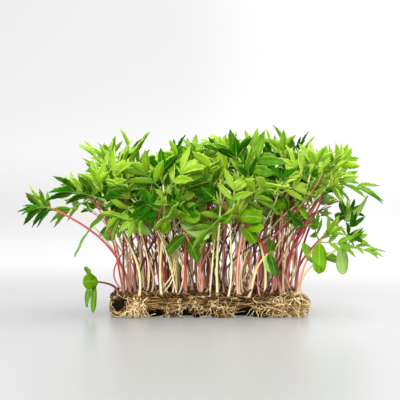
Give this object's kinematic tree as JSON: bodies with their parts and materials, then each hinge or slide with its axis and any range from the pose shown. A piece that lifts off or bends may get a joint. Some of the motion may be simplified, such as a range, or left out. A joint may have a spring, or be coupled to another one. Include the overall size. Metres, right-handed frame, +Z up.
{
  "type": "microgreens mat",
  "caption": "Block of marigold microgreens with pinnate leaves, oval seed leaves and slim pink stems, standing in the flat fibre pad that their roots bind together.",
  "frame": {"origin": "middle of the pad's flat underside, where it rests on a table or in a growing tray", "axes": "+Z up along the stems, +X along the pad's long side, +Y towards its back; the pictured side faces -Y"},
  "size_m": [0.2207, 0.1227, 0.1116],
  "materials": {
    "leaf": "satin",
    "young_leaf": "satin",
    "seed_leaf": "satin",
    "stem": "satin",
    "pad": "matte",
    "root": "matte",
    "husk": "satin"
  },
  "bodies": {
    "root": {"fibre_pad": "pad", "root_web": "root", "seed_husk_1": "husk", "seed_husk_2": "husk", "seed_husk_3": "husk", "seed_husk_4": "husk", "seed_husk_5": "husk", "seed_husk_6": "husk", "seedling_01": "leaf", "seedling_02": "leaf", "seedling_03": "leaf", "seedling_04": "leaf", "seedling_05": "leaf", "seedling_06": "leaf", "seedling_07": "leaf", "seedling_08": "leaf", "seedling_09": "leaf", "seedling_10": "leaf", "seedling_11": "leaf", "seedling_12": "leaf", "seedling_13": "leaf", "seedling_14": "leaf", "seedling_15": "young_leaf", "seedling_16": "leaf", "seedling_17": "leaf", "seedling_18": "young_leaf", "seedling_19": "young_leaf", "seedling_20": "young_leaf", "seedling_21": "young_leaf", "seedling_22": "leaf", "seedling_23": "leaf", "seedling_24": "leaf", "seedling_25": "leaf", "seedling_26": "leaf", "seedling_27": "young_leaf", "seedling_28": "leaf", "seedling_29": "leaf", "seedling_30": "leaf", "seedling_31": "young_leaf", "seedling_32": "young_leaf", "seedling_33": "leaf", "seedling_34": "leaf", "seedling_35": "leaf", "seedling_36": "young_leaf", "seedling_37": "leaf", "seedling_38": "leaf", "seedling_39": "young_leaf", "seedling_40": "leaf", "seedling_41": "leaf", "seedling_42": "young_leaf", "seedling_43": "young_leaf", "seedling_44": "young_leaf", "seedling_45": "leaf", "seedling_46": "young_leaf"}
  },
  "joints": []
}
